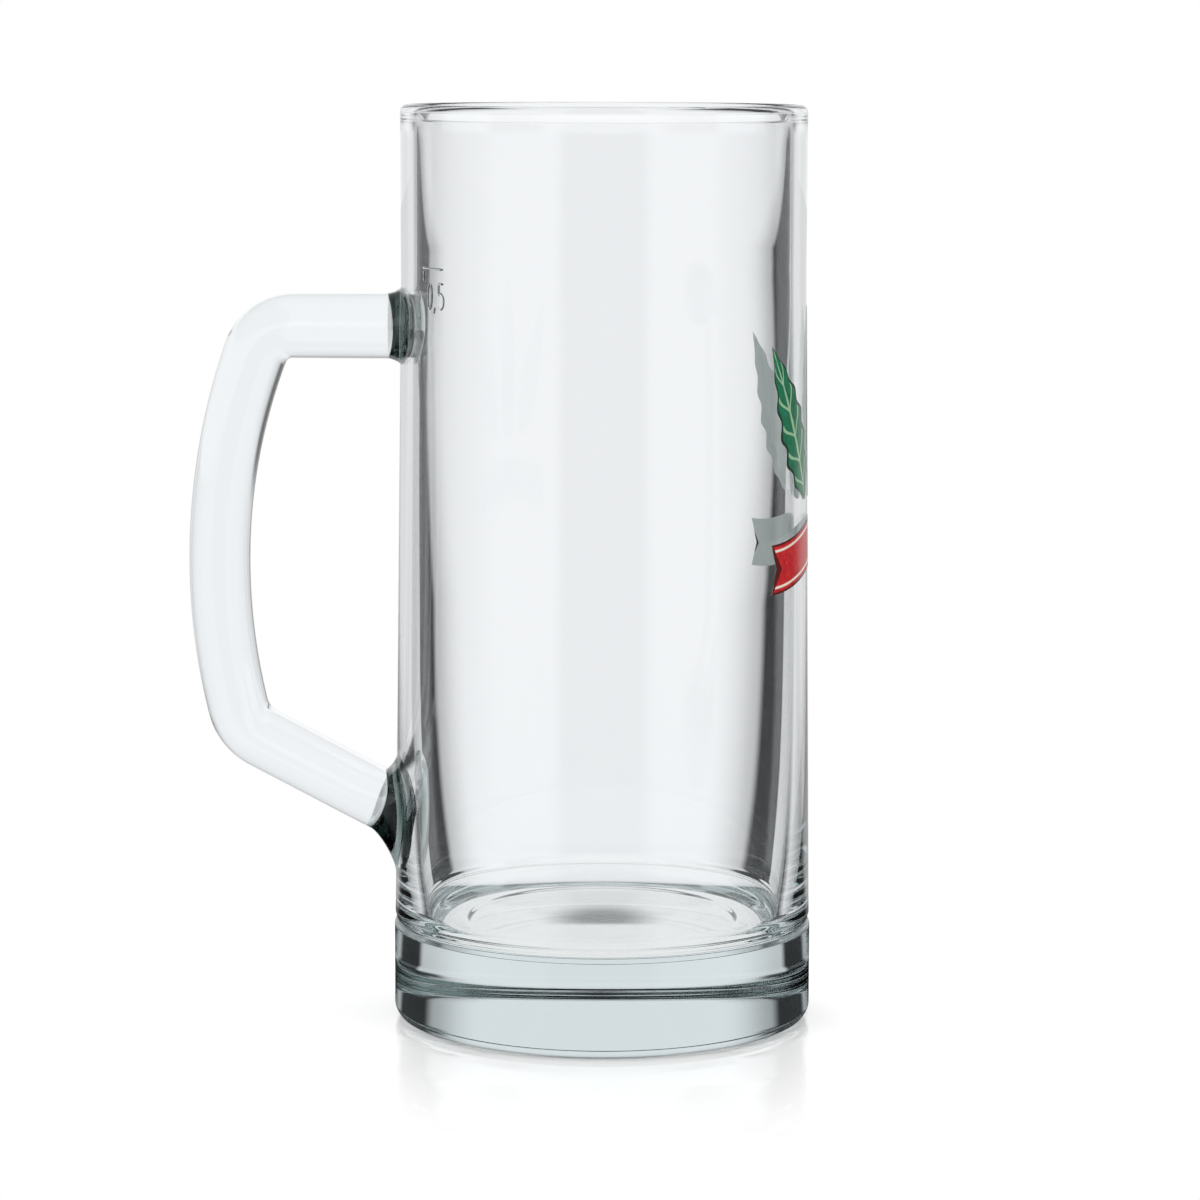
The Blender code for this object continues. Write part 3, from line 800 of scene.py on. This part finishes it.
# %% Leaves, cone and ribbon
CONE_FOOT_Z, CONE_LENGTH, CONE_HALF_WIDTH = 99.0, 35.8, 5.1
CONE_SCALES, CONE_SCALE_DEPTH = 6, 0.07
LEAF_STALK, LEAF_TIP = np.array([8.3, 99.5]), np.array([24.2, 128.5])
LEAF_HALF_WIDTH = 5.4
LEAF_TEETH, LEAF_TOOTH_DEPTH = 6, 0.12
RIBBON_HALF_LENGTH, RIBBON_Z, RIBBON_HEIGHT = 24.6, 89.4, 9.2
RIBBON_RISE, RIBBON_NOTCH = 3.3, 3.5
TIP_WIDTH = 0.04
LONG_ROWS, RIBBON_ROWS = 160, 120


def scallops(u, count, depth):
    """Rounded teeth along an edge: 1 + depth cos(2 pi count u)."""
    return 1.0 + depth * np.cos(2.0 * math.pi * count * u)


def cone_spot(u, v):
    """Hop cone: an upright pointed oval, sin(pi u^0.65)^0.8 wide, with six rounded scales a side."""
    scales = scallops(u, CONE_SCALES, CONE_SCALE_DEPTH)
    width = CONE_HALF_WIDTH * np.clip(np.sin(math.pi * u ** 0.65), 0.0, 1.0) ** 0.8 * scales
    return np.maximum(width, TIP_WIDTH) * v, CONE_FOOT_Z + CONE_LENGTH * u


def leaf_spot(side):
    """One leaf on the left (-1) or right (1): a straight midrib, sin(pi u^0.7) wide, with six teeth."""
    rib = LEAF_TIP - LEAF_STALK
    across = np.array([-rib[1], rib[0]]) / np.hypot(*rib)

    def spot(u, v):
        teeth = scallops(u, LEAF_TEETH, LEAF_TOOTH_DEPTH)
        width = np.maximum(LEAF_HALF_WIDTH * np.sin(math.pi * u ** 0.7) * teeth, TIP_WIDTH)
        s = LEAF_STALK[0] + rib[0] * u + across[0] * width * v
        return side * s, LEAF_STALK[1] + rib[1] * u + across[1] * width * v

    return spot


def ribbon_spot(u, v):
    """Ribbon: one slow wave, with a swallow tail cut into each end.

    The cut is deepest on the middle line and fades by the sixth power of the share of the length.
    """
    side = 2.0 * u - 1.0
    notch = RIBBON_NOTCH * (1.0 - np.abs(v)) * np.abs(side) ** 6
    wave = RIBBON_RISE * np.cos(math.pi * side) / 2
    return side * (RIBBON_HALF_LENGTH - notch), RIBBON_Z + wave + RIBBON_HEIGHT / 2 * v


add_print("hop_cone", cone_spot, LONG_ROWS, hop_enamel, "hop_enamel", "print_hop_cone")
add_print("leaf_near", leaf_spot(-1.0), LONG_ROWS, leaf_enamel, "leaf_enamel", "print_leaf_near")
add_print("leaf_far", leaf_spot(1.0), LONG_ROWS, leaf_enamel, "leaf_enamel", "print_leaf_far")
add_print("ribbon", ribbon_spot, RIBBON_ROWS, ribbon_enamel, "ribbon_enamel", "print_ribbon")

# %% [markdown]
# ## The fill mark
#
# Beside the handle the mould left a line at the height of half a litre, a short tick below it and the
# figure 0,5. They stand up from the wall as fine beads of the same glass. Text made a mesh would be
# flat and sharp-edged, so each stroke is a half-round bead along a path, laid out on the same flat map
# as the print and wrapped on the wall.

# %% Beads on the wall
BEAD_HALF_WIDTH = 0.22
BEAD_FRONT = 0.32
BEAD_BACK = -0.05
BEAD_POINTS = 12
BEAD_TAPER, BEAD_TIP = 12.0, 0.15
STRAIGHT_POINTS, BOW_POINTS = 30, 40


def straight(start, stop):
    """Straight path of even steps."""
    return np.linspace(start, stop, STRAIGHT_POINTS)


def bow(centre, half_width, half_height, start, stop):
    """Part of an ellipse between two angles in degrees."""
    turn = np.radians(np.linspace(start, stop, BOW_POINTS))
    return centre + np.stack([half_width * np.cos(turn), half_height * np.sin(turn)], axis=-1)


def bead(path):
    """Half-round bead: the profile (width cos a, front sin a) carried along a path, with tapered ends.

    A back half as wide, just inside the wall, closes the profile.
    """
    along = np.gradient(path, axis=0)
    along /= np.linalg.norm(along, axis=1, keepdims=True)
    across = np.stack([-along[:, 1], along[:, 0]], axis=-1)
    round_half = np.linspace(0.0, math.pi, BEAD_POINTS)
    width = np.concatenate([np.cos(round_half), [-0.5, 0.5]]) * BEAD_HALF_WIDTH
    front = np.concatenate([BEAD_FRONT * np.sin(round_half), [BEAD_BACK, BEAD_BACK]])
    share = np.linspace(0.0, 1.0, len(path))
    taper = np.clip(np.minimum(share, 1.0 - share) * BEAD_TAPER, BEAD_TIP, 1.0)[:, None]
    flat = path[:, None, :] + across[:, None, :] * (width * taper)[..., None]
    rings = on_wall(flat[..., 0], flat[..., 1], np.where(front > 0.0, front * taper, front))
    return loft(rings, rings[0].mean(axis=0), rings[-1].mean(axis=0))


# %% Strokes of the fill mark
FILL_Z = 142.6
MARK_TURN = math.radians(209.2)
MARK_START = np.array([MARK_TURN * PRINT_ROLL_RADIUS, FILL_Z])
MARK_STROKES = {
    "line": straight((0.0, 0.0), (7.2, -0.1)),
    "tick": straight((0.7, -0.4), (0.7, -2.4)),
    "nought": bow((2.9, -5.0), 0.7, 2.3, 95.0, 445.0),
    "comma": straight((4.6, -7.0), (4.3, -8.2)),
    "five": np.concatenate([
        straight((7.2, -2.7), (5.8, -2.7)),
        straight((5.8, -2.8), (5.75, -4.6)),
        bow((6.3, -5.9), 0.95, 1.4, 120.0, -140.0),
    ]),
}

mark_vertices, mark_faces = np.empty((0, 3)), []
for stroke in MARK_STROKES.values():
    vertices, faces = bead(MARK_START + stroke)
    mark_faces += [[corner + len(mark_vertices) for corner in face] for face in faces]
    mark_vertices = np.concatenate([mark_vertices, vertices])
add_piece("fill_mark", mark_vertices, mark_faces, body_glass, "body_glass")

# %% [markdown]
# ## The studio
#
# Clear glass is drawn by what stands round it. Photographers call the way used here bright field: a
# white ground behind the glass, and dark flags just outside the picture. Straight through the wall one
# sees white. Near the edges the wall bends the view outwards, and one sees the flags. They could be
# black cards, but cards would show by themselves and shade the floor. So the world behind the glass
# carries the flags as soft dark stripes that only light through glass can see. They come back every 90
# degrees round the mug, and fainter in between, so that it looks alike from all sides.

# %% Flags behind the glass
EIGHTH_TURN, QUARTER_TURN, HALF_TURN = 45.0, 90.0, 180.0
IN_DEGREES = 180.0 / math.pi
FLAG_LEAN = 0.8
FLAG_SCALE = 30.0
FLAG_DEPTH = 20.0
FLAG_INNER = [
    (0.0, 19.0), (0.065, 17.0), (0.115, 11.2), (0.24, 11.8), (0.41, 9.5), (0.7, 9.6), (1.0, 9.5),
]
FLAG_OUTER = [
    (0.0, 21.5), (0.0875, 21.5), (0.15, 21.0), (0.24, 15.9), (0.41, 15.7), (0.7, 16.6), (1.0, 17.5),
]


def heading(x, y, half_turn, lean=0.0):
    """Angle from the Y axis in degrees, folded to and fro between 0 and half_turn."""
    return (x.math("ARCTAN2", y) * IN_DEGREES + lean).math("PINGPONG", half_turn)


def edge_angle(depth, stops):
    """Angle of a flag's edge over the depth below the horizon. A ramp only holds values up to 1."""
    return depth.along([(position, value / FLAG_SCALE) for position, value in stops]) * FLAG_SCALE


print(f"{len(FLAG_INNER)} stops for the flags' inner edges, {len(FLAG_OUTER)} for the outer ones")

# %% Brightness across a flag
SOFT_EDGE, SHARP_EDGE = (-1.1, 0.3), (-0.4, 0.4)
WHITE_FALL, WHITE_FALL_SHADE = (-5.0, -0.4), 0.4
FLAG_SPAN, FLAG_LEVELS = (0.0, 6.0), (0.02, 0.03)
SIDE_SPAN, SIDE_LEVELS = (16.0, 40.0), (0.93, 1.0)
SECOND_FLAGS = 0.5


def level_over(angle, span, levels):
    """Smooth change from the first level to the second over a span of angles."""
    return angle.between(*span) * (levels[1] - levels[0]) + levels[0]


def flag_band(fold, inner, outer):
    """1 inside a flag: a soft edge at inner and a sharp one at outer."""
    return (fold - inner).between(*SOFT_EDGE) * (1.0 - (fold - outer).between(*SHARP_EDGE))


def flag_level(fold, inner, outer):
    """Brightness over the folded angle: white, a slow fall to the flag, then side light past it."""
    white = 1.0 - (fold - inner).between(*WHITE_FALL) * WHITE_FALL_SHADE
    side = level_over(fold, SIDE_SPAN, SIDE_LEVELS)
    past = (fold - outer).between(*SHARP_EDGE)
    dark = level_over(fold - inner, FLAG_SPAN, FLAG_LEVELS)
    band = flag_band(fold, inner, outer)
    return (white * (1.0 - past) + side * past) * (1.0 - band) + dark * band


def flag_ground(x, y, rise):
    """White ground with a flag each quarter turn, and a fainter one half way between two."""
    depth = rise * (-1.0 / FLAG_DEPTH)
    inner, outer = edge_angle(depth, FLAG_INNER), edge_angle(depth, FLAG_OUTER)
    fold = heading(x, y, EIGHTH_TURN, FLAG_LEAN)
    second = flag_band(EIGHTH_TURN - fold, inner, outer) * SECOND_FLAGS
    return flag_level(fold, inner, outer) * (1.0 - second)


print(f"flags at {FLAG_LEVELS[0]:.2f} to {FLAG_LEVELS[1]:.2f} of white")

# %% [markdown]
# ## Dark sides
#
# The handle is one thick bar, so it bends the view much further than the wall does and looks past the
# flags. What draws its edges are dark walls to the left and right and a dim ceiling. They could be large
# boards, but boards would stand in the way of the other views. So they are smooth ramps over two angles:
# aside, away from the Y axis, and rise, from the horizon up. Light Path counts how often light went
# through a skin of glass, and that tells the single bar from the two walls of the mug.

# %% The ground as glass sees it
TWO_WALLS = (2.4, 2.6)
GROUND_FOOT, GROUND_TOP = (-40.0, -30.0), (0.0, 2.0)
OPEN_ENDS = (67.0, 75.0)
UPPER_SIDES = [(24.0, 44.0, 0.5), (42.0, 48.0, 0.47)]
LOWER_SIDES = [(26.0, 46.0, 0.25), (47.6, 51.6, 0.72)]
UPPER_START, SIDES_TOP = (-1.0, 4.0), (30.0, 40.0)
LOWEST_SIDES, LOWEST_RISE, LOWEST_FALL = (32.0, 38.0), (-29.0, -27.0), (-25.0, -22.5)
HORIZON_SIDES, HORIZON_RISE, HORIZON_FALL = (33.0, 41.0), (-3.0, 2.0), (8.0, 12.0)
STRIPE_SHADE = 0.9
ZENITH = [(30.0, 48.0, 0.7), (52.0, 56.0, 0.29)]


def shades(angle, ramps):
    """Sum of smooth ramps over an angle, each one given by its start, its end and its depth."""
    first, *others = (angle.between(start, end) * depth for start, end, depth in ramps)
    return sum(others, first)


def ground_level(x, y, rise):
    """World for light through glass: flags below the horizon, low dark sides and a dim zenith above.

    Light that crossed one piece of glass only, such as the handle, doesn't see the flags. Light that
    crossed two walls doesn't see the dim zenith.
    """
    walls = rise.node("ShaderNodeLightPath", output="Transmission Depth").between(*TWO_WALLS)
    below = rise.within(GROUND_FOOT, GROUND_TOP) * walls

    aside = heading(x, y, QUARTER_TURN)
    open_end = 1.0 - aside.between(*OPEN_ENDS)
    lower = shades(aside, LOWER_SIDES)
    lowest = aside.between(*LOWEST_SIDES) * rise.within(LOWEST_RISE, LOWEST_FALL) * STRIPE_SHADE
    lower = lower + (1.0 - lower) * lowest
    above = rise.between(*UPPER_START)
    sides = (shades(aside, UPPER_SIDES) * above + lower * (1.0 - above)) * rise.between(*GROUND_FOOT)
    sides = sides * (1.0 - rise.between(*SIDES_TOP) * walls)
    horizon = aside.between(*HORIZON_SIDES) * rise.within(HORIZON_RISE, HORIZON_FALL) * STRIPE_SHADE
    zenith = shades(rise, ZENITH) * (1.0 - walls)
    high = (1.0 - sides * open_end) * (1.0 - horizon * open_end) * (1.0 - zenith)
    return flag_ground(x, y, rise) * below + high * (1.0 - below)


print(f"sides darken from {LOWER_SIDES[0][0]:.0f} degrees aside, and end at {OPEN_ENDS[0]:.0f}")

# %% The studio as a reflection sees it
GLOSS_STOPS = [
    (0.0, 0.95), (0.08, 0.9), (0.1, 0.68), (0.145, 0.78), (0.2, 0.95), (0.24, 0.1), (0.26, 0.05),
    (0.4, 0.05), (0.45, 0.3), (0.55, 0.35), (0.62, 0.6), (0.84, 0.6), (0.875, 0.12), (1.0, 0.12),
]
MIRRORED_ONCE, MIRRORED_TWICE = (0.4, 0.6), (1.4, 1.6)
FRONT_HALF = (85.0, 95.0)
CEILING_SPAN, CEILING_SHADE = (16.0, 24.0), 0.65


def gloss_level(x, y):
    """Studio as a reflection sees it: softboxes to the front sides, dark walls to the back sides."""
    return (heading(x, y, HALF_TURN) * (1.0 / HALF_TURN)).along(GLOSS_STOPS)


def world_levels(flow):
    """Brightness of the world for light through glass and for light off a gloss.

    Light that was reflected inside the glass and leaves it downwards counts as light off a gloss, and
    so does light that was reflected twice and comes back to the front.
    """
    x, y, z = parts_of(flow.node("ShaderNodeTexCoord", output="Generated"), 3)
    rise = z.math("ARCSINE") * IN_DEGREES
    downwards = 1.0 - rise.between(*GROUND_TOP)
    reflected = gloss_level(x, y)
    mirrors = flow.node("ShaderNodeLightPath", output="Glossy Depth")
    frontwards = heading(x, y, HALF_TURN).between(*FRONT_HALF) * (1.0 - downwards)
    inside = mirrors.between(*MIRRORED_ONCE) * downwards + mirrors.between(*MIRRORED_TWICE) * frontwards
    inside = inside.clamp()
    ceiling = 1.0 - rise.between(*CEILING_SPAN) * CEILING_SHADE
    gloss = reflected * downwards + ceiling * (1.0 - downwards)
    return ground_level(x, y, rise) * (1.0 - inside) + reflected * inside, gloss


print(f"{len(GLOSS_STOPS)} stops for the walls that a reflection sees")

# %% [markdown]
# ## The floor
#
# The mug stands on a glossy white table that runs out of the picture. A white plane under strong light
# would do, but the light would wash out the enamel. So the plane is plainly white to the camera, except
# close to the mug, where a lit and glossy paint takes the shadow and a faint mirror image. Reflections on
# the glass see it as bright as the studio in that direction.

# %% Kinds of light, distances and cards
def metres(span):
    """A span in millimetres as metres."""
    return [value * MM for value in span]


def light_path(flow):
    """Flags for rays straight from the camera, through glass and off a gloss."""
    direct = flow.node("ShaderNodeLightPath", output="Is Camera Ray")
    through = flow.node("ShaderNodeLightPath", output="Is Transmission Ray")
    gloss = flow.node("ShaderNodeLightPath", output="Is Glossy Ray")
    return direct, through, (gloss - through).clamp()


def distance(x, y):
    """Length of the flat vector x, y."""
    return (x * x + y * y).math("SQRT")


def add_card(name, finish, corners):
    """Flat piece of the stage from corners in millimetres."""
    mesh = bpy.data.meshes.new(name)
    mesh.from_pydata((np.asarray(corners) * MM).tolist(), [], [tuple(range(len(corners)))])
    mesh.materials.append(finish)
    card = bpy.data.objects.new(name, mesh)
    bpy.context.collection.objects.link(card)
    print(f"{name}: a card of {len(corners)} corners")
    return card


# %% Floor
FLOOR_HALF = 4000.0
FLOOR_DROP = 0.15
FLOOR_PAINT = (0.92, 0.92, 0.92, 1.0)
FLOOR_GLOW = (0.17, 0.17, 0.17, 1.0)
PAINT_REACH = (45.0, 110.0)
DARK_SIDES, DARK_SIDES_REACH, DARK_SIDES_SHADE = (22.0, 30.0), (100.0, 140.0), 0.9
FAR_SIDE, FAR_SIDE_SHADE = (34.0, 42.0), 0.25

floor_finish, floor_flow, floor_shader = new_finish(
    "white_floor", Base_Color=FLOOR_PAINT, Roughness=0.02, IOR=1.8, Emission_Strength=1.0,
    Emission_Color=FLOOR_GLOW,
)
direct, _, gloss = light_path(floor_flow)
x, y = parts_of(floor_flow.node("ShaderNodeTexCoord", output="Object"), 2)
from_axis = distance(x, y)
beside = heading(x, y, QUARTER_TURN).between(*DARK_SIDES)
beside = beside * (1.0 - from_axis.between(*metres(DARK_SIDES_REACH))) * DARK_SIDES_SHADE
beyond = (1.0 - heading(x, y, HALF_TURN).between(*FAR_SIDE)) * FAR_SIDE_SHADE
shown = direct + gloss * gloss_level(x, y) * (1.0 - beside) * (1.0 - beyond)
white = floor_flow.node("ShaderNodeEmission", inputs={"Color": shown.blend(BLACK, WHITE)})
plain = (gloss + direct * from_axis.between(*metres(PAINT_REACH))).clamp()
lit = Flow(floor_finish.node_tree, floor_shader.outputs[0])
show(floor_finish, floor_flow.node("ShaderNodeMixShader", inputs={0: plain, 1: lit, 2: white}))

square = np.array([[-1, -1, 0], [1, -1, 0], [1, 1, 0], [-1, 1, 0]]) * FLOOR_HALF
studio_floor = add_card("studio_floor", floor_finish, square - [0.0, 0.0, FLOOR_DROP])
studio_floor.visible_transmission = False
print("floor", 2 * FLOOR_HALF * MM, "m wide")

# %% [markdown]
# ## White table under the base
#
# Light that leaves the thick base steeply downwards meets the table close to the mug, and there it has
# to look white again. A small round card does that, and only light through glass sees it. Light that
# leaves the base at a shallow angle passes over the card, as it would glance off a glossy table, and
# sees the studio behind. A soft dark spot, a painted shadow under the thick base, lies on the card
# behind the middle, with a clear front edge. Through the base it shows as the dark oval in the middle
# of the mug's floor.

# %% Table card
CARD_RADIUS = 43.5
CARD_POINTS = 96
CARD_DROP = 0.12
CARD_LEVEL = 0.9
SHADOW_SPOT_Y = 13.0
SHADOW_SPOT_SPAN = (3.0, 14.0)
SHADOW_SPOT_EDGE = (7.0, 10.0)

card_finish, card_flow, _ = new_finish("white_table_card")
x, y = parts_of(card_flow.node("ShaderNodeTexCoord", output="Object"), 2)
# Painted shadow: a soft dark spot on the card behind the middle, with a clear front edge, where little
# light gets under the thick base.
from_shadow_spot = distance(x, y - SHADOW_SPOT_Y * MM)
spot = (1.0 - from_shadow_spot.between(*metres(SHADOW_SPOT_SPAN))) * y.between(*metres(SHADOW_SPOT_EDGE))
level = (1.0 - spot) * CARD_LEVEL
show(card_finish, card_flow.node("ShaderNodeEmission", inputs={"Color": level.blend(BLACK, WHITE)}))

turn = np.linspace(0.0, 2.0 * math.pi, CARD_POINTS, endpoint=False)
disc = np.stack([np.cos(turn), np.sin(turn), 0.0 * turn], axis=-1) * CARD_RADIUS
table_card = add_card("table_card", card_finish, disc - [0.0, 0.0, CARD_DROP])
table_card.visible_camera = False
table_card.visible_diffuse = False
table_card.visible_glossy = False
table_card.visible_shadow = False
print("table card", 2 * CARD_RADIUS, "mm across")

# %% [markdown]
# ## World and lamps
#
# The world is white to the camera. Light through glass and light off a gloss see the levels worked out
# above, a little cooler through glass, and everything else gets an even, dim light. Four softboxes shade
# the enamel and cast the soft shadow. One strong lamp would be simpler, but its image in the glass would
# be a hard white spot. For the same reason neither glass nor gloss sees the softboxes themselves.

# %% World
WORLD_LIGHT = 0.6
COOL_WHITE = (0.965, 0.982, 1.0, 1.0)

world = bpy.data.worlds.new("studio_world")
world.use_nodes = True
world_flow = Flow(world.node_tree)
direct, through, gloss = light_path(world_flow)
other = 1.0 - (direct + through + gloss).clamp()
ground, reflected = world_levels(world_flow)
shown = direct + gloss * reflected + through * ground + other * WORLD_LIGHT
tint = through.blend(WHITE, COOL_WHITE)
background = world.node_tree.nodes["Background"]
world.node_tree.links.new(shown.blend(BLACK, tint).socket, background.inputs["Color"])
bpy.context.scene.world = world
print("world lights the mug at", WORLD_LIGHT)

# %% Lamps
LAMPS = {
    "key_softbox": ((-900.0, -900.0, 900.0), 700.0, 6.0),
    "fill_softbox": ((950.0, -650.0, 700.0), 700.0, 4.0),
    "back_softbox": ((-500.0, 1000.0, 900.0), 700.0, 4.0),
    "top_softbox": ((0.0, 0.0, 1500.0), 900.0, 6.0),
}
MUG_MIDDLE = np.array([0.0, 0.0, 80.0])
NEARLY_UPRIGHT = 0.99


def facing(place):
    """Turn of a lamp whose Z axis points back from the middle of the mug, with its X axis level."""
    back = place - MUG_MIDDLE
    back = back / np.linalg.norm(back)
    side = np.array([1.0, 0.0, 0.0])
    if abs(back[2]) < NEARLY_UPRIGHT:
        side = np.cross([0.0, 0.0, 1.0], back)
        side = side / np.linalg.norm(side)
    return Matrix(np.stack([side, np.cross(back, side), back], axis=1).tolist()).to_euler()


for name, (place, size, watts) in LAMPS.items():
    lamp_data = bpy.data.lights.new(name, "AREA")
    lamp_data.size = size * MM
    lamp_data.energy = watts
    lamp = bpy.data.objects.new(name, lamp_data)
    bpy.context.collection.objects.link(lamp)
    lamp.visible_transmission = False
    lamp.visible_glossy = False
    lamp.location = [value * MM for value in place]
    lamp.rotation_euler = facing(np.array(place))
    print(f"{name}: {watts} W")

# %% [markdown]
# ## Settings
#
# Light crosses many skins of glass before it leaves the mug. With Blender's usual number of bounces the
# thick base would fill with black patches, so more are allowed.

# %% Settings
scene = bpy.context.scene
scene.view_settings.view_transform = "Standard"
scene.cycles.max_bounces = 32
scene.cycles.transmission_bounces = 24
scene.cycles.glossy_bounces = 16
